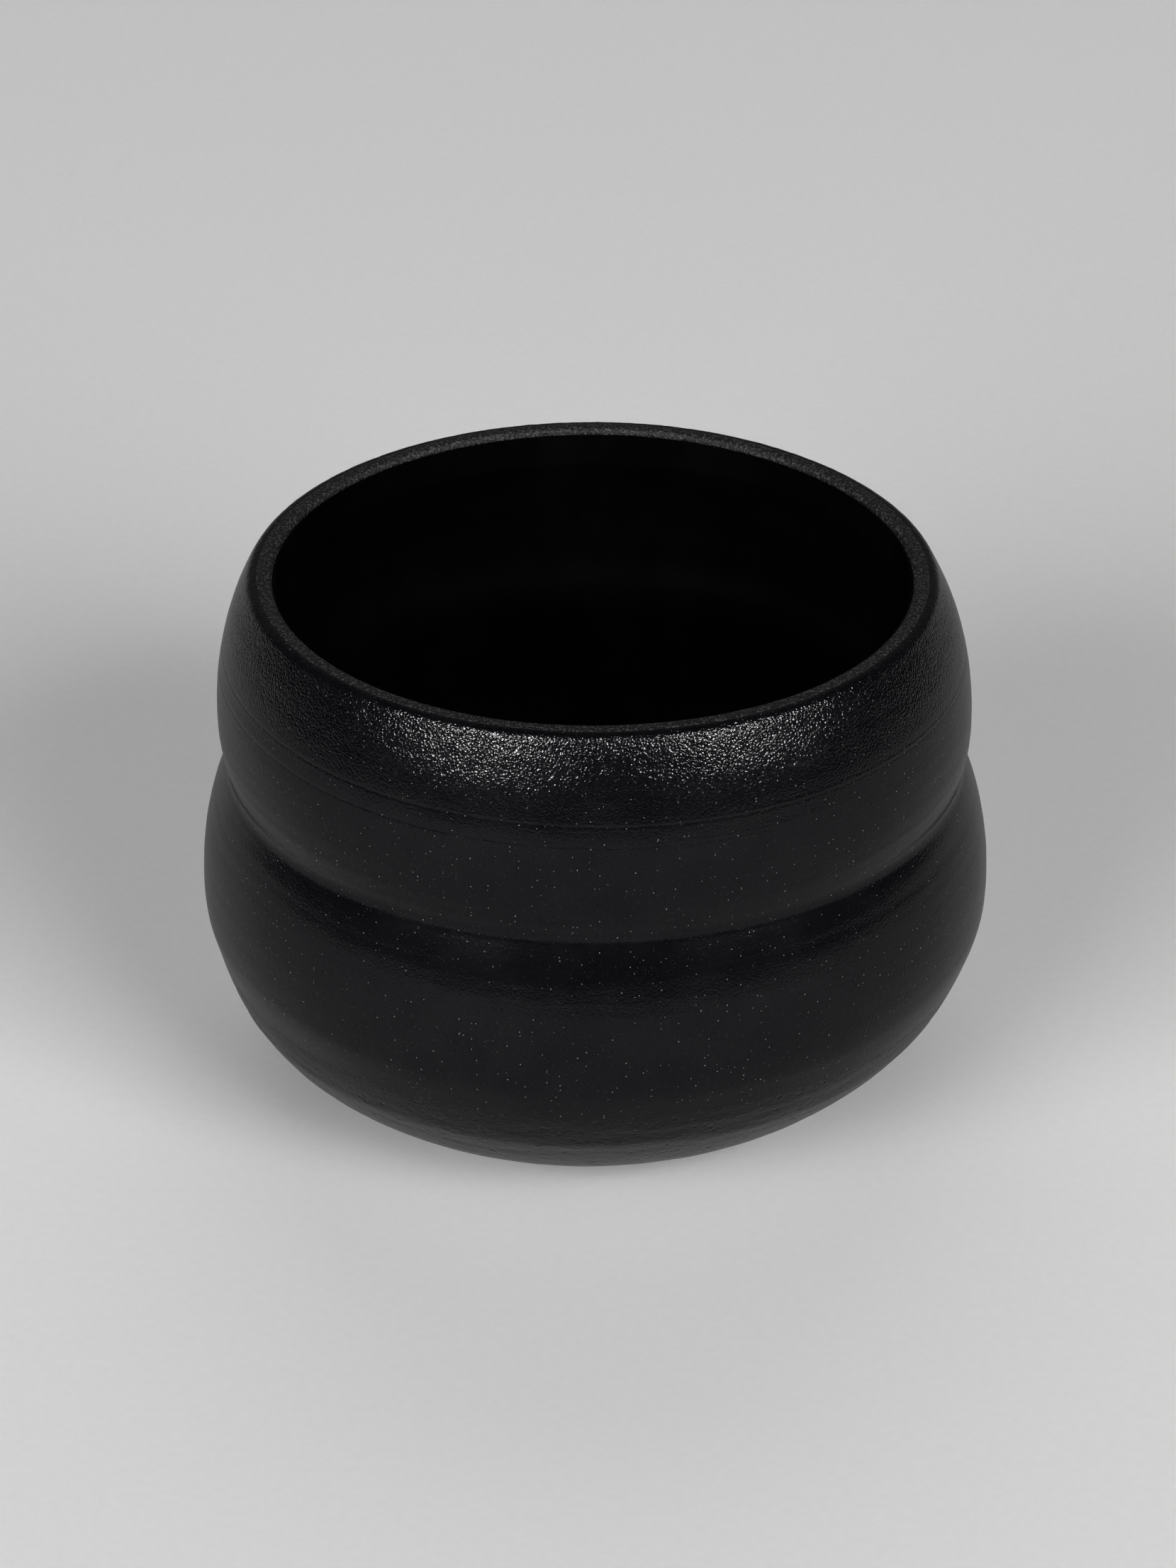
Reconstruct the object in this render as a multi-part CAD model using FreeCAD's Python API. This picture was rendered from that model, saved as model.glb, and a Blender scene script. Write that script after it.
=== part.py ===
import FreeCAD, Part
import os
from math import sqrt
from FreeCAD import Vector

# A wheel-thrown stoneware candle vessel: a squat round pot with a bulging shoulder, a pinched
# waist and a fuller belly, standing on a low trimmed foot ring. Three bonded layers make it up:
# the clay body, the glaze coat on the outside and the liner glaze on the inside.
# Millimetres, +Z up. The origin is on the pot's axis, at the level of the foot's resting face.

# ---- Driving dimensions of the clay body ----
overall_height = 66.0
belly_radius = 47.7  # widest place of the clay
belly_height = 25.8
belly_arc_above = 35.7  # radius of curvature from the belly up to the waist
belly_arc_below = 24.4  # radius of curvature from the belly down to the foot
shoulder_radius = 45.05
shoulder_height = 48.0
shoulder_arc_above = 36.7  # radius of curvature from the shoulder up to the lip
shoulder_arc_below = 20.7  # radius of curvature from the shoulder down to the waist
waist_fillet = 2.9  # hollow fillet where the two bulges meet
wall = 4.2  # the inside runs parallel to the outside

lip_corner_radius = 0.8  # rounds both corners of the flattened lip
mouth_radius = 37.7  # clear opening inside the liner glaze

foot_outer_radius = 29.0
foot_inner_radius = 23.0
foot_recess_depth = 1.6
foot_chamfer = 0.5

# ---- Driving dimensions of the glaze ----
outer_coat = 0.3
liner_coat = 0.3
outer_glaze_stop = 18.5  # the clay is bare below this height

# ---- Centres of the outline's arcs, as radius and height ----
# Every layer's surface runs parallel to the clay's outside, so all of them share these centres.
shoulder_top_centre = Vector(shoulder_radius - shoulder_arc_above, 0, shoulder_height)
shoulder_low_centre = Vector(shoulder_radius - shoulder_arc_below, 0, shoulder_height)
belly_top_centre = Vector(belly_radius - belly_arc_above, 0, belly_height)
belly_low_centre = Vector(belly_radius - belly_arc_below, 0, belly_height)


def circles_meet(centre_a, radius_a, centre_b, radius_b):
    """The crossing of two circles that lies further from the pot's axis."""
    between = centre_b - centre_a
    distance = between.Length
    along = (radius_a**2 - radius_b**2 + distance**2) / (2 * distance)
    aside = sqrt(radius_a**2 - along**2)
    direction = between / distance
    outward = Vector(abs(direction.z), 0, -direction.x * (1 if direction.z > 0 else -1))
    return centre_a + direction * along + outward * aside


waist_centre = circles_meet(
    shoulder_low_centre, shoulder_arc_below + waist_fillet, belly_top_centre, belly_arc_above + waist_fillet
)


def towards(centre, target, distance):
    """The point at a distance from a centre, in the direction of a target."""
    return centre + (target - centre).normalize() * distance


def at_height(centre, radius, height):
    """The outer point of a circle at a height."""
    return Vector(centre.x + sqrt(radius**2 - (height - centre.z) ** 2), 0, height)


def under_radius(centre, radius, across):
    """The lower point of a circle at a distance from the pot's axis."""
    return Vector(across, 0, centre.z - sqrt(radius**2 - (across - centre.x) ** 2))


def over_radius(centre, radius, across):
    """The upper point of a circle at a distance from the pot's axis."""
    return Vector(across, 0, centre.z + sqrt(radius**2 - (across - centre.x) ** 2))


def arc(centre, start, end):
    """The shorter arc between two points at the same distance from a centre."""
    middle = towards(centre, (start + end) * 0.5, (start - centre).Length)
    return Part.Arc(start, middle, end).toShape()


def line(start, end):
    return Part.makeLine(start, end)


def wall_outline(offset, start, end):
    """Edges from the lower belly to the upper shoulder, parallel to the clay's outside."""
    belly = Vector(belly_radius + offset, 0, belly_height)
    waist_low = towards(belly_top_centre, waist_centre, belly_arc_above + offset)
    waist_high = towards(shoulder_low_centre, waist_centre, shoulder_arc_below + offset)
    shoulder = Vector(shoulder_radius + offset, 0, shoulder_height)
    return [
        arc(belly_low_centre, start, belly),
        arc(belly_top_centre, belly, waist_low),
        arc(waist_centre, waist_low, waist_high),
        arc(shoulder_low_centre, waist_high, shoulder),
        arc(shoulder_top_centre, shoulder, end),
    ]


def turned(edges):
    """The solid that a closed outline sweeps in a full turn about the pot's axis."""
    outline = Part.Wire(Part.__sortEdges__(edges))
    return Part.Face(outline).revolve(Vector(0, 0, 0), Vector(0, 0, 1), 360)


# ---- Shared points of the outline ----
# Outer corner of the lip: a small arc that touches the flat land and the shoulder's arc.
lip_corner_height = overall_height - lip_corner_radius
lip_corner_centre = at_height(shoulder_top_centre, shoulder_arc_above - lip_corner_radius, lip_corner_height)
lip_outer_edge = towards(shoulder_top_centre, lip_corner_centre, shoulder_arc_above)
lip_land_outer = lip_corner_centre + Vector(0, 0, lip_corner_radius)

# Neck: a short straight stretch under the lip, in the clay and in the liner.
clay_neck_radius = mouth_radius + liner_coat
clay_inside = shoulder_arc_above - wall
liner_inside = clay_inside - liner_coat
clay_neck_top = Vector(clay_neck_radius, 0, lip_corner_height)
clay_neck_bottom = over_radius(shoulder_top_centre, clay_inside, clay_neck_radius)
liner_neck_top = Vector(mouth_radius, 0, lip_corner_height)
liner_neck_bottom = over_radius(shoulder_top_centre, liner_inside, mouth_radius)

# Floor: level with the lowest point of the belly's inner arc.
clay_floor_edge = belly_low_centre - Vector(0, 0, belly_arc_below - wall)
liner_floor_edge = clay_floor_edge + Vector(0, 0, liner_coat)
clay_floor_centre = Vector(0, 0, clay_floor_edge.z)
liner_floor_centre = Vector(0, 0, liner_floor_edge.z)

# Lower edge of the outer glaze, cut square to the clay.
glaze_stop_inner = at_height(belly_low_centre, belly_arc_below, outer_glaze_stop)
glaze_stop_outer = towards(belly_low_centre, glaze_stop_inner, belly_arc_below + outer_coat)
glaze_top_outer = towards(shoulder_top_centre, lip_outer_edge, shoulder_arc_above + outer_coat)

# Foot ring
foot_shoulder = under_radius(belly_low_centre, belly_arc_below, foot_outer_radius)
foot_points = [
    Vector(0, 0, foot_recess_depth),
    Vector(foot_inner_radius, 0, foot_recess_depth),
    Vector(foot_inner_radius, 0, foot_chamfer),
    Vector(foot_inner_radius + foot_chamfer, 0, 0),
    Vector(foot_outer_radius - foot_chamfer, 0, 0),
    Vector(foot_outer_radius, 0, foot_chamfer),
    foot_shoulder,
]


def stoneware_body():
    lip_land_inner = Vector(clay_neck_radius + lip_corner_radius, 0, overall_height)
    inner_corner_centre = Vector(lip_land_inner.x, 0, lip_corner_height)
    edges = [line(start, end) for start, end in zip(foot_points, foot_points[1:])]
    edges += wall_outline(0, foot_shoulder, lip_outer_edge)
    edges.append(arc(lip_corner_centre, lip_outer_edge, lip_land_outer))
    edges.append(line(lip_land_outer, lip_land_inner))
    edges.append(arc(inner_corner_centre, lip_land_inner, clay_neck_top))
    edges.append(line(clay_neck_top, clay_neck_bottom))
    edges += wall_outline(-wall, clay_floor_edge, clay_neck_bottom)
    edges.append(line(clay_floor_edge, clay_floor_centre))
    edges.append(line(clay_floor_centre, foot_points[0]))
    return turned(edges)


def outer_glaze():
    edges = wall_outline(0, glaze_stop_inner, lip_outer_edge)
    edges.append(line(lip_outer_edge, glaze_top_outer))
    edges += wall_outline(outer_coat, glaze_stop_outer, glaze_top_outer)
    edges.append(line(glaze_stop_outer, glaze_stop_inner))
    return turned(edges)


def liner_glaze():
    edges = wall_outline(-wall, clay_floor_edge, clay_neck_bottom)
    edges.append(line(clay_neck_bottom, clay_neck_top))
    edges.append(line(clay_neck_top, liner_neck_top))
    edges.append(line(liner_neck_top, liner_neck_bottom))
    edges += wall_outline(-wall - liner_coat, liner_floor_edge, liner_neck_bottom)
    edges.append(line(liner_floor_edge, liner_floor_centre))
    edges.append(line(liner_floor_centre, clay_floor_centre))
    edges.append(line(clay_floor_centre, clay_floor_edge))
    return turned(edges)


sub_parts = {
    "stoneware_body": stoneware_body(),
    "outer_glaze": outer_glaze(),
    "liner_glaze": liner_glaze(),
}

os.makedirs("parts", exist_ok=True)
for name, shape in sub_parts.items():
    shape.exportStep(f"parts/{name}.step")
    box = shape.BoundBox
    print(f"{name}: valid {shape.isValid()}, {len(shape.Solids)} solid, {shape.Volume / 1000:.2f} cm3,"
          f" radius {box.XMax:.2f} mm, height {box.ZMin:.2f} to {box.ZMax:.2f} mm")
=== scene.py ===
from math import atan2, cos, exp, hypot, pi, radians, sin, sqrt

import bpy
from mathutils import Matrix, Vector, noise


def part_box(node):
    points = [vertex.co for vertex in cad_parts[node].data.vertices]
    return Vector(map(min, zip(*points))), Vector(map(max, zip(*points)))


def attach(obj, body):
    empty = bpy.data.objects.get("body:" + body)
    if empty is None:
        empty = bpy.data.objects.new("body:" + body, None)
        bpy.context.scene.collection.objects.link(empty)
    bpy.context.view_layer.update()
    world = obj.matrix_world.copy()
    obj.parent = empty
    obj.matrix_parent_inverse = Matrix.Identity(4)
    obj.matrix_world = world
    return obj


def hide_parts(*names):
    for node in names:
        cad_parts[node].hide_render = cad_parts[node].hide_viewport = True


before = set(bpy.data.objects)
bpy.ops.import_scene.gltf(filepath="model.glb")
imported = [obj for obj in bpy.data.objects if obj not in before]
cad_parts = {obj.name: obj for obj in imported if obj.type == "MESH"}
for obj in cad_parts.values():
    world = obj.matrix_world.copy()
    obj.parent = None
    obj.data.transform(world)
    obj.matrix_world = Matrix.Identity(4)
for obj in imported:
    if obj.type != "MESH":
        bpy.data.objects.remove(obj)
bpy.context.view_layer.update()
mm = 0.001
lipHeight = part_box("stoneware_body")[1].z

view = dict(
    distance=480 * mm,  # from the pot's axis, level
    height=246.3 * mm,  # above the lip
    lookDown=29.88,  # degrees
    lens=104.4,
    shiftX=-0.0047, shiftY=-0.001,
)


def addCamera():
    data = bpy.data.cameras.new("stillCamera")
    data.lens = view["lens"]
    data.sensor_width = 36
    data.shift_x = view["shiftX"]
    data.shift_y = view["shiftY"]
    camera = bpy.data.objects.new("stillCamera", data)
    bpy.context.scene.collection.objects.link(camera)
    camera.location = (0, -view["distance"], lipHeight + view["height"])
    camera.rotation_euler = (radians(90 - view["lookDown"]), 0, 0)
    bpy.context.scene.camera = camera
    print("camera placed")


studio = dict(
    floorRadius=0.6, floorCorners=96,
    # what lights the floor and the clay
    left=dict(azimuth=-39, rise=21.6, distance=2.0, wide=1.14, tall=1.14, power=35.0),
    right=dict(azimuth=39, rise=28.7, distance=2.13, wide=1.08, tall=1.08, power=36.0),
    back=dict(azimuth=180, rise=38.6, distance=1.5, wide=1.3, tall=1.3, power=6.3),
    # what the glaze mirrors
    leftGleam=dict(azimuth=-37, rise=38.5, distance=2.0, wide=0.46, tall=0.5, power=100.0),
    rightGleam=dict(azimuth=47, rise=38.5, distance=2.0, wide=0.46, tall=0.5, power=95.0),
    # what the camera sees past the floor and what the glaze mirrors, in front and behind; each
    # changes over a stretch of the way round, which runs from -1 at the lamps to 1 behind the pot
    frontdrop=0.86, backdrop=0.56, dropFade=(-0.5, 0.4),
    frontGloom=0.012, backGloom=0.22, gloomFade=(0.4, 1.0),
    air=0.01,
)


def around(azimuth, rise, distance):
    a = radians(azimuth)
    e = radians(rise)
    return Vector((distance * sin(a) * cos(e), -distance * cos(a) * cos(e), distance * sin(e)))


def addSoftbox(name, gleam=False):
    # a gleam box is only seen in the glaze, any other only lights the floor and the clay
    box = studio[name]
    data = bpy.data.lights.new(name + "Softbox", "AREA")
    data.shape = "RECTANGLE"
    data.size = box["wide"]
    data.size_y = box["tall"]
    data.energy = box["power"]
    lamp = bpy.data.objects.new(name + "Softbox", data)
    bpy.context.scene.collection.objects.link(lamp)
    lamp.location = around(box["azimuth"], box["rise"], box["distance"])
    lamp.rotation_euler = (-lamp.location).to_track_quat("-Z", "Y").to_euler()
    lamp.visible_glossy = gleam
    lamp.visible_diffuse = not gleam


class Wire:
    # a node's output that can be used in plain arithmetic
    def __init__(self, tree, socket):
        self.tree = tree
        self.socket = socket

    def maths(self, operation, *others):
        return self.tree.add("ShaderNodeMath", dict(operation=operation), dict(enumerate([self, *others])))

    def __add__(self, other):
        return self.maths("ADD", other)

    __radd__ = __add__

    def __sub__(self, other):
        return self.maths("SUBTRACT", other)

    def __rsub__(self, other):
        return self.tree.add("ShaderNodeMath", dict(operation="SUBTRACT"), {0: other, 1: self})

    def __mul__(self, other):
        return self.maths("MULTIPLY", other)

    __rmul__ = __mul__

    def between(self, low, high):
        # 0 below low, 1 above high, smooth in the middle
        return self.tree.add("ShaderNodeMapRange", dict(interpolation_type="SMOOTHSTEP"), {
            "Value": self, "From Min": low, "From Max": high})


class Finish:
    # the node tree of a material or of the world
    def __init__(self, owner):
        self.owner = owner
        owner.use_nodes = True
        self.nodes = owner.node_tree.nodes
        self.links = owner.node_tree.links
        self.nodes.clear()
        world = isinstance(owner, bpy.types.World)
        self.output = self.nodes.new("ShaderNodeOutputWorld" if world else "ShaderNodeOutputMaterial")

    def add(self, kind, settings=None, inputs=None, output=0):
        # one node: its settings first, then the values or wires of its sockets
        node = self.nodes.new(kind)
        for key, value in (settings or {}).items():
            setattr(node, key, value)
        for key, value in (inputs or {}).items():
            if isinstance(value, Wire):
                self.links.new(value.socket, node.inputs[key])
            else:
                node.inputs[key].default_value = value
        return Wire(self, node.outputs[output])

    def place(self, scale=(1, 1, 1)):
        # object coordinates in millimetres, stretched by a scale
        where = self.add("ShaderNodeTexCoord", output="Object")
        return self.add("ShaderNodeMapping", inputs={"Vector": where, "Scale": [s / mm for s in scale]})

    def grain(self, size, detail=2.0, scale=(1, 1, 1), distortion=0.0, roughness=0.5):
        # noise with features of about a size in millimetres
        return self.add("ShaderNodeTexNoise", inputs={
            "Vector": self.place(scale), "Scale": 1 / size, "Detail": detail,
            "Roughness": roughness, "Distortion": distortion})

    def axis(self, vector, letter):
        return self.add("ShaderNodeSeparateXYZ", inputs={"Vector": vector}, output=letter)

    def cells(self, spacing, output="Distance"):
        # irregular cells about a spacing in millimetres apart
        inputs = {"Vector": self.place(), "Scale": 1 / spacing}
        return self.add("ShaderNodeTexVoronoi", inputs=inputs, output=output)

    def spots(self, spacing, radius, softness=0.35):
        # 1 inside small round grains scattered through the clay, 0 between them
        away = self.cells(spacing)
        return 1 - away.between(radius / spacing * (1 - softness), radius / spacing)

    def specks(self, spacing, radius):
        # small bright grains, each of its own size, many cells of them empty
        away = self.cells(spacing)
        luck = self.axis(self.cells(spacing, "Color"), "X")
        empty, edge = 0.35, 0.3
        reach = (luck * (1 + empty) - empty) * (radius / spacing)
        return 1 - (away - reach).between(-edge * radius / spacing, 0)

    def heightAbove(self):
        # millimetres above the ground
        return self.axis(self.place(), "Z")

    def mix(self, factor, low, high):
        # a colour between two, the first where the factor is 0
        return self.add("ShaderNodeMix", dict(data_type="RGBA"), {0: factor, 6: low, 7: high}, output=2)

    def bump(self, height, depth):
        # depth in millimetres for a height of 1
        return self.add("ShaderNodeBump", inputs={"Height": height, "Distance": depth * mm, "Strength": 1.0})

    def coating(self, **inputs):
        # the plain shader, its sockets named with _ for a space
        named = {key.replace("_", " "): value for key, value in inputs.items()}
        return self.add("ShaderNodeBsdfPrincipled", inputs=named)

    def surface(self, shader):
        self.links.new(shader.socket, self.output.inputs["Surface"])
        return self.owner


def rgb(r, g, b):
    return (r, g, b, 1.0)


# in this and the next finishes, grains, spacings, heights and relief are in millimetres
glaze = dict(
    peel=0.25, peelStretch=(0.85, 0.85, 1.15), peelRise=0.7, pebble=0.31, pebbleDip=0.6,
    dimple=1.1, dimpleRise=0.3, sweep=0.6, sweepStretch=(0.12, 0.12, 1), sweepRise=0.08,
    blotch=5, fleck=0.3, speckSpacing=0.5, dustSpacing=0.3, speckRadius=0.07,
    thick=(53.5, 64), thinRelief=0.22, relief=0.1,
    deep=rgb(0.0019, 0.0019, 0.0026), bloom=rgb(0.0030, 0.0029, 0.0036),
    dust=rgb(0.022, 0.022, 0.023), speck=rgb(0.26, 0.26, 0.255),
    rough=0.175, ior=1.35, glossy=0.38, glossySpread=0.24,
)


def blackGlaze():
    f = Finish(bpy.data.materials.new("blackGlaze"))
    peel = f.grain(glaze["peel"], detail=1, scale=glaze["peelStretch"], distortion=0.2, roughness=0.4)
    pebble = f.cells(glaze["pebble"])
    dimple = f.grain(glaze["dimple"], detail=1)
    sweep = f.grain(glaze["sweep"], scale=glaze["sweepStretch"])
    blotch = f.grain(glaze["blotch"], detail=3)
    fleck = f.grain(glaze["fleck"], detail=1)
    speck = f.specks(glaze["speckSpacing"], glaze["speckRadius"])
    dust = f.specks(glaze["dustSpacing"], glaze["speckRadius"])
    # the glaze lies thickest and bumpiest on the shoulder
    thick = f.heightAbove().between(*glaze["thick"])
    skin = peel * glaze["peelRise"] - pebble * pebble * glaze["pebbleDip"] + dimple * glaze["dimpleRise"]
    strength = glaze["thinRelief"] + (1 - glaze["thinRelief"]) * thick
    normal = f.bump(skin * strength + sweep * glaze["sweepRise"], glaze["relief"])
    colour = f.mix(blotch.between(0.35, 0.7), glaze["deep"], glaze["bloom"])
    colour = f.mix(dust, colour, glaze["dust"])
    colour = f.mix(speck, colour, glaze["speck"])
    rough = glaze["rough"] + 0.03 * blotch - 0.02 * thick
    glassy = f.coating(Base_Color=colour, Roughness=rough, Normal=normal, IOR=glaze["ior"])
    # the glaze is half matt: tiny matt flecks lie among the glassy ones
    matt = f.coating(Base_Color=colour, Roughness=0.9, Specular_IOR_Level=0.0, Normal=normal)
    share = glaze["glossy"] + glaze["glossySpread"] * fleck
    return f.surface(f.add("ShaderNodeMixShader", inputs={0: share, 1: matt, 2: glassy}))


clay = dict(
    sand=0.36, sandRise=0.5, grit=0.34, gritRise=1.6,
    scrape=0.6, scrapeStretch=(0.55, 0.55, 1), scrapeRise=0.9,
    pitSpacing=1.5, pitRadius=0.36, pitDip=1.1, grogSpacing=1.1, grogRadius=0.12, grogRise=0.3,
    rim=(64.2, 65.2), paleLow=(12.6, 14.4), relief=0.13,
    plainColours=(rgb(0.001, 0.001, 0.0009), rgb(0.0035, 0.0033, 0.003)),
    paleLowColours=(rgb(0.011, 0.0108, 0.0104), rgb(0.023, 0.0225, 0.0216)),
    # the lip's light grains are partly sand and partly a painted reflection of the pale studio behind, which
    # the lip's top faces
    rimSandAndReflectionColours=(rgb(0.0008, 0.0008, 0.001), rgb(0.045, 0.045, 0.046)),
    # pitShadeColour darkens the pits: painted shade in them
    pitShadeColour=rgb(0.003, 0.003, 0.003), grogColour=rgb(0.05, 0.048, 0.044),
    rough=0.32, ior=1.23,
)


def bareClay():
    f = Finish(bpy.data.materials.new("bareClay"))
    sand = f.grain(clay["sand"], roughness=0.6)
    grit = f.grain(clay["grit"], roughness=0.6)
    scrape = f.grain(clay["scrape"], detail=3, scale=clay["scrapeStretch"], roughness=0.7)
    pit = f.spots(clay["pitSpacing"], clay["pitRadius"], softness=0.5)
    grog = f.spots(clay["grogSpacing"], clay["grogRadius"])
    high = f.heightAbove()
    rim = high.between(*clay["rim"])
    paleLow = 1 - high.between(*clay["paleLow"])  # paler low down, below about 13.5 mm
    height = sand * clay["sandRise"] + grit * clay["gritRise"] * rim + scrape * clay["scrapeRise"] * (1 - rim)
    height = height - pit * clay["pitDip"] + grog * clay["grogRise"]
    scraped = scrape.between(0.3, 0.7)
    # painted reflection: the lip's grains are lighter than the body's clay, partly sand and partly the studio
    # behind that the lip's top mirrors
    sandAndReflection = f.mix(grit.between(0.5, 0.66), *clay["rimSandAndReflectionColours"])
    colour = f.mix(rim, f.mix(scraped, *clay["plainColours"]), sandAndReflection)
    colour = f.mix(paleLow, colour, f.mix(scraped, *clay["paleLowColours"]))
    # painted shade: the pits are darkened in colour as well as dipped
    colour = f.mix(pit * 0.7, colour, clay["pitShadeColour"])
    colour = f.mix(grog * 0.5, colour, clay["grogColour"])
    normal = f.bump(height, clay["relief"])
    rough = clay["rough"] + 0.15 * sand + 0.2 * rim
    return f.surface(f.coating(Base_Color=colour, Roughness=rough, Normal=normal, IOR=clay["ior"]))


liner = dict(
    peel=0.6, peelRise=0.7, sweep=0.9, sweepStretch=(0.05, 0.05, 1), sweepRise=0.5,
    smear=9, smearStretch=(1, 1, 0.6), speckSpacing=1.4, speckRadius=0.08, relief=0.03,
    # the liner's colours are darker than the outer glaze's: a black glaze with painted shade for the inside
    # of the cup
    deep=rgb(0.0008, 0.0008, 0.0008), bloom=rgb(0.0014, 0.0014, 0.0013), speck=rgb(0.012, 0.012, 0.011),
    rough=0.42, roughSpread=0.2, ior=1.05,
)


def linerGlazePaintedShade():
    f = Finish(bpy.data.materials.new("linerGlazePaintedShade"))
    peel = f.grain(liner["peel"], distortion=0.4)
    sweep = f.grain(liner["sweep"], scale=liner["sweepStretch"])
    smear = f.grain(liner["smear"], detail=3, scale=liner["smearStretch"])
    speck = f.spots(liner["speckSpacing"], liner["speckRadius"])
    # painted shade: the inside is coloured darker than the outer glaze
    colour = f.mix(smear.between(0.45, 0.75), liner["deep"], liner["bloom"])
    colour = f.mix(speck * 0.5, colour, liner["speck"])
    normal = f.bump(peel * liner["peelRise"] + sweep * liner["sweepRise"], liner["relief"])
    rough = liner["rough"] + liner["roughSpread"] * smear
    return f.surface(f.coating(Base_Color=colour, Roughness=rough, Normal=normal, IOR=liner["ior"]))


paper = dict(
    tooth=1.2, colours=(rgb(0.757, 0.755, 0.758), rgb(0.772, 0.77, 0.773)),
    # ahead is a darker floor colour towards the lamps, a painted shade
    paintedShadeAhead=rgb(0.5, 0.5, 0.502), paintedShadeAheadFade=(-700, -230), rough=0.85, shine=0.2,
)


def paleFloor():
    f = Finish(bpy.data.materials.new("paleFloor"))
    tooth = f.grain(paper["tooth"])
    colour = f.mix(tooth.between(0.3, 0.7), *paper["colours"])
    # painted shade: the floor's colour is darker towards the lamps, so that it doesn't burn out there
    colour = f.mix(f.axis(f.place(), "Y").between(*paper["paintedShadeAheadFade"]), paper["paintedShadeAhead"], colour)
    return f.surface(f.coating(
        Base_Color=colour, Roughness=paper["rough"], Specular_IOR_Level=paper["shine"]))


# the section that all three layers follow: radii, heights and the reach of each round stretch
pot = dict(
    belly=47.7 * mm, bellyHeight=25.8 * mm, bellyAbove=35.7 * mm, bellyBelow=24.4 * mm,
    shoulder=45.05 * mm, shoulderHeight=48.0 * mm, shoulderAbove=36.7 * mm, shoulderBelow=20.7 * mm,
    waist=2.9 * mm, wall=4.2 * mm, coat=0.3 * mm, glazeStop=18.5 * mm,
    lipOuter=1.7 * mm, lipInner=0.8 * mm, mouth=37.7 * mm,
    segments=480, weld=0.002 * mm,
)


def point(radius, height):
    return Vector((radius, 0, height))


shoulderTop = point(pot["shoulder"] - pot["shoulderAbove"], pot["shoulderHeight"])
shoulderLow = point(pot["shoulder"] - pot["shoulderBelow"], pot["shoulderHeight"])
bellyTop = point(pot["belly"] - pot["bellyAbove"], pot["bellyHeight"])
bellyLow = point(pot["belly"] - pot["bellyBelow"], pot["bellyHeight"])


def crossing(a, reachA, b, reachB):
    # where two circles cross, on the side away from the axis
    gap = b - a
    along = (reachA**2 - reachB**2 + gap.length_squared) / (2 * gap.length)
    way = gap.normalized()
    aside = sqrt(reachA**2 - along**2)
    return a + way * along + point(abs(way.z), -way.x if way.z > 0 else way.x) * aside


waistHollow = crossing(
    shoulderLow, pot["shoulderBelow"] + pot["waist"], bellyTop, pot["bellyAbove"] + pot["waist"])


def onward(centre, target, reach):
    # the point of a circle that lies towards a target
    return centre + (target - centre).normalized() * reach


def atHeight(centre, reach, height):
    return point(centre.x + sqrt(reach**2 - (height - centre.z) ** 2), height)


def atRadius(centre, reach, radius, side):
    # side is 1 for the circle's upper half and -1 for its lower one
    return point(radius, centre.z + side * sqrt(reach**2 - (radius - centre.x) ** 2))


def clayRadius(height):
    # the clay's outer radius at a height, over the round part of the wall
    waistLow = onward(bellyTop, waistHollow, pot["bellyAbove"]).z
    waistHigh = onward(shoulderLow, waistHollow, pot["shoulderBelow"]).z
    if waistLow < height < waistHigh:
        return waistHollow.x - sqrt(pot["waist"] ** 2 - (height - waistHollow.z) ** 2)
    if height >= pot["shoulderHeight"]:
        centre, reach = shoulderTop, pot["shoulderAbove"]
    elif height >= waistHigh:
        centre, reach = shoulderLow, pot["shoulderBelow"]
    elif height >= pot["bellyHeight"]:
        centre, reach = bellyTop, pot["bellyAbove"]
    else:
        centre, reach = bellyLow, pot["bellyBelow"]
    return centre.x + sqrt(max(reach**2 - (height - centre.z) ** 2, 0))


class Outline:
    # walks round a layer's section, laying points at a step
    def __init__(self, start):
        self.points = [start]

    def line(self, end, step):
        start = self.points[-1]
        count = max(1, round((end - start).length / step))
        self.points += [start.lerp(end, (i + 1) / count) for i in range(count)]
        return self

    def arc(self, centre, end, step):
        start = self.points[-1] - centre
        reach = start.length
        sweep = atan2((end - centre).z, (end - centre).x) - atan2(start.z, start.x)
        sweep = (sweep + pi) % (2 * pi) - pi
        first = atan2(start.z, start.x)
        count = max(1, round(abs(sweep) * reach / step))
        for i in range(count):
            a = first + sweep * (i + 1) / count
            self.points.append(centre + point(cos(a), sin(a)) * reach)
        return self

    def wall(self, offset, end, steps, down=False):
        # the round wall between the lower belly and the upper shoulder, parallel to the clay's outside
        stops = [
            (bellyLow, point(pot["belly"] + offset, pot["bellyHeight"])),
            (bellyTop, onward(bellyTop, waistHollow, pot["bellyAbove"] + offset)),
            (waistHollow, onward(shoulderLow, waistHollow, pot["shoulderBelow"] + offset)),
            (shoulderLow, point(pot["shoulder"] + offset, pot["shoulderHeight"])),
            (shoulderTop, end),
        ]
        if down:
            centres = [c for c, p in stops][::-1]
            ends = [p for c, p in stops[:-1]][::-1] + [end]
            stops = list(zip(centres, ends))
            steps = steps[::-1]
        for (centre, stop), step in zip(stops, steps):
            self.arc(centre, stop, step)
        return self


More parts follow.
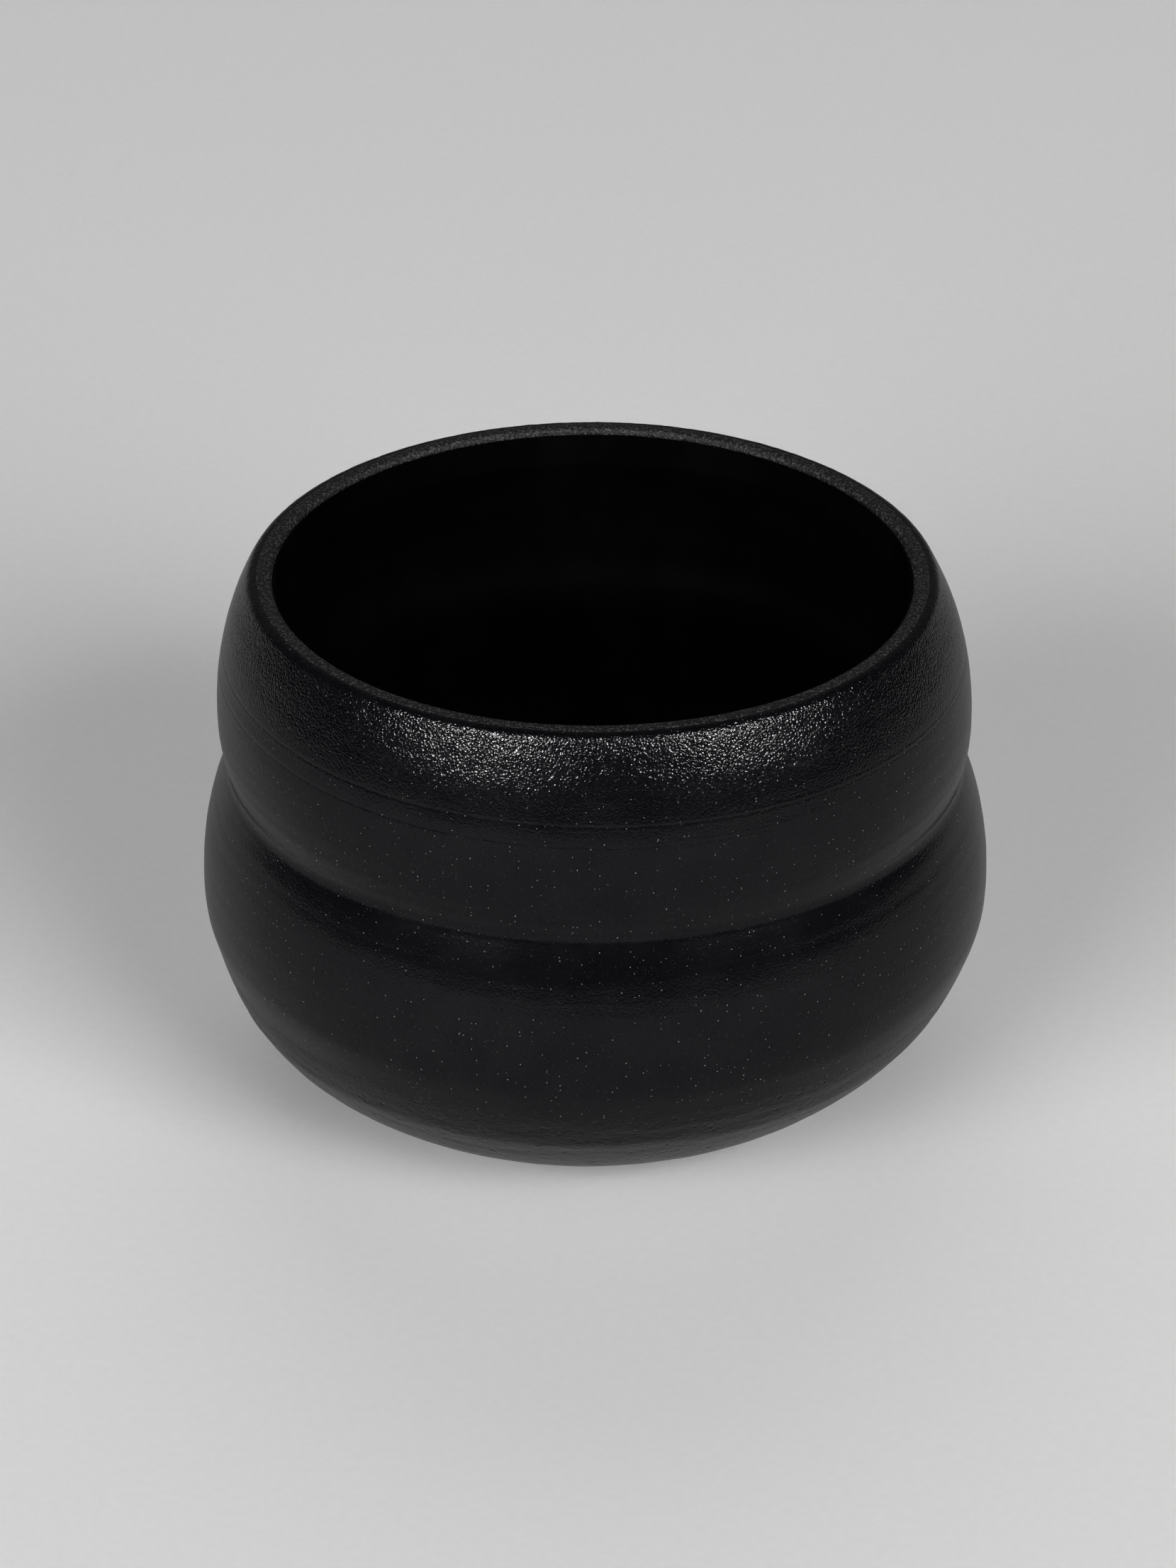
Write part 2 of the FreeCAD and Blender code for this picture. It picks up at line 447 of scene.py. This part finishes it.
def turnedOnWheel(name, points):
    # a small square shrinks to the outline's first point, is drawn along the outline and turned
    bpy.ops.object.select_all(action="DESELECT")
    bpy.ops.mesh.primitive_plane_add(size=mm, location=points[0])
    bpy.ops.object.transform_apply(location=True)
    piece = bpy.context.object
    piece.name = name
    piece.data.name = name
    bpy.ops.object.mode_set(mode="EDIT")
    bpy.ops.mesh.select_all(action="SELECT")
    bpy.ops.mesh.merge(type="CENTER")
    for here, there in zip(points, points[1:]):
        bpy.ops.mesh.extrude_vertices_move(TRANSFORM_OT_translate={"value": there - here})
    bpy.ops.mesh.select_all(action="SELECT")
    bpy.ops.mesh.remove_doubles(threshold=pot["weld"])
    bpy.ops.object.mode_set(mode="OBJECT")
    bpy.ops.object.modifier_add(type="SCREW")
    wheel = piece.modifiers[-1]
    wheel.steps = pot["segments"]
    wheel.render_steps = pot["segments"]
    wheel.use_merge_vertices = True
    wheel.merge_threshold = pot["weld"]
    bpy.ops.object.modifier_apply(modifier=wheel.name)
    bpy.ops.object.mode_set(mode="EDIT")
    bpy.ops.mesh.select_all(action="SELECT")
    bpy.ops.mesh.remove_doubles(threshold=pot["weld"])
    bpy.ops.mesh.normals_make_consistent(inside=False)
    bpy.ops.object.mode_set(mode="OBJECT")
    return piece


def soft(value, low, high):
    t = min(1, max(0, (value - low) / (high - low)))
    return t * t * (3 - 2 * t)


def hump(value, width):
    return exp(-((value / width) ** 2))


def swell(spot, across, up, shift=(0, 0, 0)):
    # smooth noise, with its swells so many millimetres wide across and up the pot
    return noise.noise(Vector((spot.x / across, spot.y / across, spot.z / up)) + Vector(shift))


# one fine throwing line that winds down the shoulder: degrees, turns and millimetres
throwing = dict(
    start=150, top=57.0, pitch=2.35, turns=1.65, fadeIn=0.08, fadeOut=0.5,
    ridge=0.055, groove=0.07, width=0.16,
)


def spiralRelief(turn, height):
    # a ridge with a groove under it
    width, turns = throwing["width"], throwing["turns"]
    left = 0.5 - 0.5 * sin(radians(turn - 90))  # 1 on one side of the pot, 0 on the other
    relief = 0
    for lap in range(2):
        run = ((turn - throwing["start"]) % 360 + 360 * lap) / 360
        if run > turns:
            continue
        fade = soft(run, 0, throwing["fadeIn"]) * (1 - soft(run, turns - throwing["fadeOut"], turns))
        strength = fade * (0.8 + 0.5 * noise.noise(Vector((run * 9, 3.1, 0))))
        above = height - (throwing["top"] - throwing["pitch"] * run)
        ridge = throwing["ridge"] * hump(above - width, width) * left
        groove = throwing["groove"] * hump(above, width) * (1 - 0.6 * left)
        relief += strength * (ridge - groove)
    return relief


# unevenness of the outside in millimetres, each with how wide its swells are
outer = dict(
    wobble=0.132, wobbleSpan=34, sway=0.05, swaySpan=11, ripple=0.032, rippleSpan=22, rippleUp=1.5,
    rings=((45.4, 0.035, 0.5), (43.3, 0.03, 0.45), (37.6, -0.025, 0.55)), ringSpan=26,  # height, rise, width
    bare=(16.5, 18.0), chatter=0.07, chatterSpan=5, chatterUp=0.9,
    trimRidge=0.10, trimHeight=13.4, trimWidth=1.0,
    footFade=(2.5, 6), lipFade=(64.0, 65.8),
)


def outsideMarks(spot, turn, height):
    # millimetres outward at a spot in millimetres
    out = outer["wobble"] * swell(spot, outer["wobbleSpan"], outer["wobbleSpan"], (5.2, 0, 0))
    out += outer["sway"] * swell(spot, outer["swaySpan"], outer["swaySpan"], (0, 8.4, 0))
    out += outer["ripple"] * swell(spot, outer["rippleSpan"], outer["rippleUp"])
    out += spiralRelief(turn, height)
    for level, rise, width in outer["rings"]:
        if abs(height - level) < 3 * width:
            strength = 0.6 + 0.9 * swell(spot, outer["ringSpan"], outer["ringSpan"], (level, 0, 0))
            out += strength * rise * hump(height - level, width)
    # the scraper's marks below the glaze
    scraped = outer["chatter"] * swell(spot, outer["chatterSpan"], outer["chatterUp"], (0, 0, 40))
    scraped += outer["trimRidge"] * hump(height - outer["trimHeight"], outer["trimWidth"])
    out += scraped * (1 - soft(height, *outer["bare"]))
    return out * soft(height, *outer["footFade"]) * (1 - soft(height, *outer["lipFade"]))


# finger rings that wind up from the floor, in millimetres
inner = dict(
    rings=0.05, pitch=5.2, ringSpan=18, slope=0.55, slopeFade=(8, 20), wobble=0.132, wobbleSpan=30,
    floorFade=(7, 16), middleFade=(1.5, 7), lipFade=(60, 64),
)


def insideMarks(spot, turn, height, radius):
    # millimetres and direction at a spot: outward on the wall, downward on the floor
    climb = height - inner["slope"] * radius * (1 - soft(height, *inner["slopeFade"]))
    rings = sin(2 * pi * (climb / inner["pitch"] - turn / 360))
    push = -inner["rings"] * rings * (0.7 + 0.6 * swell(spot, inner["ringSpan"], inner["ringSpan"]))
    push += inner["wobble"] * swell(spot, inner["wobbleSpan"], inner["wobbleSpan"], (1, 2, 3))
    push *= 1 - soft(height, *inner["lipFade"])
    flat = 1 - soft(height, *inner["floorFade"])
    return push * (1 - flat), push * flat * soft(radius, *inner["middleFade"])


# how the whole pot strays from round and upright, in millimetres
stray = dict(
    lipWave=0.06, lipTilt=0.35, tiltFade=(0.1, 1), lipFrom=58, landRough=0.03, landDepth=(1.2, 0.2),
    oval=0.05, ovalTurn=62, footFrom=(1.9, 3.0), footGrow=0.17, footGrowFade=(8, 22),
    footLean=1.3, footLeanFade=(0.5, 22), lipLean=0.3, lipLeanFade=(40, 66),
    stopWave=0.35, stopWidth=2.0, stopSpan=5,
    outsideFrom=2.0, wallFrom=2.2, insideFrom=4,
)


def handShaped(piece):
    top = lipHeight / mm
    middle = pot["wall"] / mm * 0.5
    deep, shallow = stray["landDepth"]
    for vertex in piece.data.vertices:
        spot = vertex.co / mm
        height = spot.z
        radius = hypot(spot.x, spot.y)
        turn = (atan2(spot.y, spot.x) * 180 / pi) % 360
        away = Vector((spot.x, spot.y, 0)) / max(radius, 1e-6)
        wall = clayRadius(max(height, stray["wallFrom"]) * mm) / mm
        outside = radius > wall - middle and height > stray["outsideFrom"]
        if outside:
            move = away * outsideMarks(spot, turn, height)
        elif height > stray["insideFrom"]:
            outward, downward = insideMarks(spot, turn, height, radius)
            move = away * outward - Vector((0, 0, downward))
        else:
            move = Vector((0, 0, 0))
        # the lip dips and rises a little and its land is rough
        lip = soft(height, stray["lipFrom"], top)
        land = soft(height, top - deep, top - shallow)
        wave = noise.noise(Vector((away.x * 1.1 + 7, away.y * 1.1, 0.5))) + 0.5 * noise.noise(away * 2.7)
        rough = swell(spot, 1.1, 1.1) + 0.6 * swell(spot, 0.5, 0.5)
        tilt = stray["lipTilt"] * soft(away.x, *stray["tiltFade"])
        move.z -= lip * (stray["lipWave"] * (0.55 + 0.5 * wave) + tilt)
        move.z -= land * stray["landRough"] * (1 + rough)
        # slightly out of round, and not quite over its foot
        foot = soft(height, *stray["footFrom"])
        squeeze = stray["oval"] * 0.5 * (1 + cos(2 * radians(turn - stray["ovalTurn"])))
        grow = stray["footGrow"] * (1 - soft(height, *stray["footGrowFade"]))
        move += away * foot * (grow - squeeze)
        move.x -= stray["footLean"] * (1 - soft(height, *stray["footLeanFade"]))
        move.x -= stray["lipLean"] * soft(height, *stray["lipLeanFade"])
        # the glaze's lower edge wanders
        if outside:
            near = hump(height - pot["glazeStop"] / mm, stray["stopWidth"])
            move.z += stray["stopWave"] * noise.noise(away * stray["stopSpan"]) * near
        vertex.co += move * mm


# how far apart the points of the outlines lie
step = dict(
    fine=0.14 * mm, edge=0.15 * mm, short=0.2 * mm, medium=0.3 * mm, bare=0.45 * mm, plain=0.5 * mm,
    wide=0.8 * mm, flat=1.2 * mm, neck=1.5 * mm, hidden=3.0 * mm,
)
hiddenSteps = [step["hidden"]] * 5  # for the wall's five round stretches


def polar(angle, reach):
    return point(cos(angle), sin(angle)) * reach


def lipCorner():
    # the middle of the lip's rounded outer corner, and how far up the wall turns into it
    height = lipHeight - pot["lipOuter"]
    middle = atHeight(shoulderTop, pot["shoulderAbove"] - pot["lipOuter"], height)
    return middle, atan2((middle - shoulderTop).z, (middle - shoulderTop).x)


def neckTop(radius):
    return point(radius, lipHeight - pot["lipInner"])


footRing = dict(
    outer=29.0 * mm, inner=23.0 * mm, recess=1.6 * mm, ease=0.5 * mm,
    underGlaze=1.5 * mm,  # how far up under the glaze the scraped clay keeps its fine points
)


def makeClay():
    corner, rise = lipCorner()
    neck = pot["mouth"] + pot["coat"]
    inward = neckTop(neck + pot["lipInner"])
    footIn, footOut = footRing["inner"], footRing["outer"]
    recess, ease = footRing["recess"], footRing["ease"]
    # the underside and the foot ring
    o = Outline(point(0, recess))
    o.line(point(footIn - ease, recess), step["flat"])
    o.arc(point(footIn - ease, recess - ease), point(footIn, recess - ease), step["short"])
    o.line(point(footIn, ease), step["medium"])
    o.arc(point(footIn + ease, ease), point(footIn + ease, 0), step["edge"])
    o.line(point(footOut - ease, 0), step["wide"])
    o.arc(point(footOut - ease, ease), point(footOut, ease), step["edge"])
    o.line(atRadius(bellyLow, pot["bellyBelow"], footOut, -1), step["medium"])
    # the outside, the lip and the inside
    covered = pot["glazeStop"] + footRing["underGlaze"]
    o.arc(bellyLow, atHeight(bellyLow, pot["bellyBelow"], covered), step["bare"])
    o.wall(0, corner + polar(rise, pot["lipOuter"]), hiddenSteps)
    o.arc(corner, point(corner.x, lipHeight), step["fine"])
    o.line(point(inward.x, lipHeight), step["short"])
    o.arc(inward, neckTop(neck), step["fine"])
    o.line(atRadius(shoulderTop, pot["shoulderAbove"] - pot["wall"], neck, 1), step["neck"])
    floorEdge = bellyLow - point(0, pot["bellyBelow"] - pot["wall"])
    o.wall(-pot["wall"], floorEdge, hiddenSteps, down=True)
    o.line(point(0, floorEdge.z), step["hidden"])
    piece = turnedOnWheel("clayWall", o.points)
    handShaped(piece)
    return piece


outerCoat = dict(
    feather=5 * mm, featherSteps=12, thinnest=0.03,  # the lower edge, as a share of the coat
    lipWrap=44, wrapSteps=8,  # degrees that it reaches round the lip's corner
    fineFrom=52 * mm, fineTo=58.5 * mm,  # where the throwing line runs
)


def makeOuterCoat():
    corner, rise = lipCorner()
    bend, coat = pot["lipOuter"], pot["coat"]
    wrap = radians(outerCoat["lipWrap"])
    shoulder = pot["shoulderAbove"] + coat
    o = Outline(corner + polar(rise + wrap, bend))
    o.arc(corner, corner + polar(rise, bend), step["short"])
    o.wall(0, atHeight(bellyLow, pot["bellyBelow"], pot["glazeStop"]), hiddenSteps, down=True)
    # the coat thins out towards its lower edge
    thinnest = outerCoat["thinnest"]
    for i in range(1, outerCoat["featherSteps"] + 1):
        t = i / outerCoat["featherSteps"]
        low = atHeight(bellyLow, pot["bellyBelow"], pot["glazeStop"] + outerCoat["feather"] * t)
        thick = coat * (thinnest + (1 - thinnest) * soft(t, 0, 1))
        o.points.append(onward(bellyLow, low, pot["bellyBelow"] + thick))
    plain, medium = step["plain"], step["medium"]
    steps = [plain, medium, medium, medium, plain]
    o.wall(coat, atHeight(shoulderTop, shoulder, outerCoat["fineFrom"]), steps)
    o.arc(shoulderTop, atHeight(shoulderTop, shoulder, outerCoat["fineTo"]), step["fine"])
    o.arc(shoulderTop, corner + polar(rise, bend + coat), medium)
    # and round the corner of the lip
    for i in range(1, outerCoat["wrapSteps"] + 1):
        t = i / outerCoat["wrapSteps"]
        o.points.append(corner + polar(rise + wrap * t, bend + coat * (1 - t * t)))
    piece = turnedOnWheel("blackGlazeCoat", o.points)
    handShaped(piece)
    return piece


def makeLiner():
    coat, wall, mouth = pot["coat"], pot["wall"], pot["mouth"]
    floorEdge = bellyLow - point(0, pot["bellyBelow"] - wall)
    inside = pot["shoulderAbove"] - wall
    # up the side that lies on the clay, over the top and down the side that shows
    o = Outline(point(0, floorEdge.z))
    o.line(floorEdge, step["hidden"])
    o.wall(-wall, atRadius(shoulderTop, inside, mouth + coat, 1), hiddenSteps)
    o.line(neckTop(mouth + coat), step["neck"])
    o.line(neckTop(mouth), step["edge"])
    o.line(atRadius(shoulderTop, inside - coat, mouth, 1), step["plain"])
    o.wall(-wall - coat, floorEdge + point(0, coat), [step["wide"]] * 5, down=True)
    o.line(point(0, floorEdge.z + coat), step["flat"])
    piece = turnedOnWheel("linerCoat", o.points)
    handShaped(piece)
    return piece


def finished(piece, material, node):
    # gives a piece its finish and says which part of the frame it stands for
    bpy.ops.object.select_all(action="DESELECT")
    piece.select_set(True)
    bpy.context.view_layer.objects.active = piece
    bpy.ops.object.shade_smooth_by_angle(angle=radians(50))
    piece.data.materials.append(material)
    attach(piece, "root")
    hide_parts(node)
    print(f"{piece.name}: {len(piece.data.polygons)} faces")


addCamera()
finished(makeClay(), bareClay(), "stoneware_body")
finished(makeOuterCoat(), blackGlaze(), "outer_glaze")
finished(makeLiner(), linerGlazePaintedShade(), "liner_glaze")


def addStudio():
    bpy.ops.object.select_all(action="DESELECT")
    bpy.ops.mesh.primitive_circle_add(
        vertices=studio["floorCorners"], radius=studio["floorRadius"], fill_type="NGON")
    floor = bpy.context.object
    floor.name = "studioFloor"
    floor.data.materials.append(paleFloor())
    for name in ("left", "right", "back"):
        addSoftbox(name)
    for name in ("leftGleam", "rightGleam"):
        addSoftbox(name, gleam=True)
    air = Finish(bpy.data.worlds.new("studioAir"))
    bpy.context.scene.world = air.owner
    facing = air.add("ShaderNodeTexCoord", output="Generated")
    along = air.axis(facing, "Y")
    drop = along.between(*studio["dropFade"])
    gloom = along.between(*studio["gloomFade"])
    backdrop = studio["frontdrop"] + (studio["backdrop"] - studio["frontdrop"]) * drop
    mirrored = studio["frontGloom"] + (studio["backGloom"] - studio["frontGloom"]) * gloom
    glossy = air.add("ShaderNodeLightPath", output="Is Glossy Ray")
    camera = air.add("ShaderNodeLightPath", output="Is Camera Ray")
    level = mirrored * glossy + backdrop * camera + studio["air"]
    air.surface(air.add("ShaderNodeBackground", inputs={"Strength": level}))
    bpy.context.scene.view_settings.view_transform = "Standard"  # tones as they are lit
    print("studio lit")


addStudio()
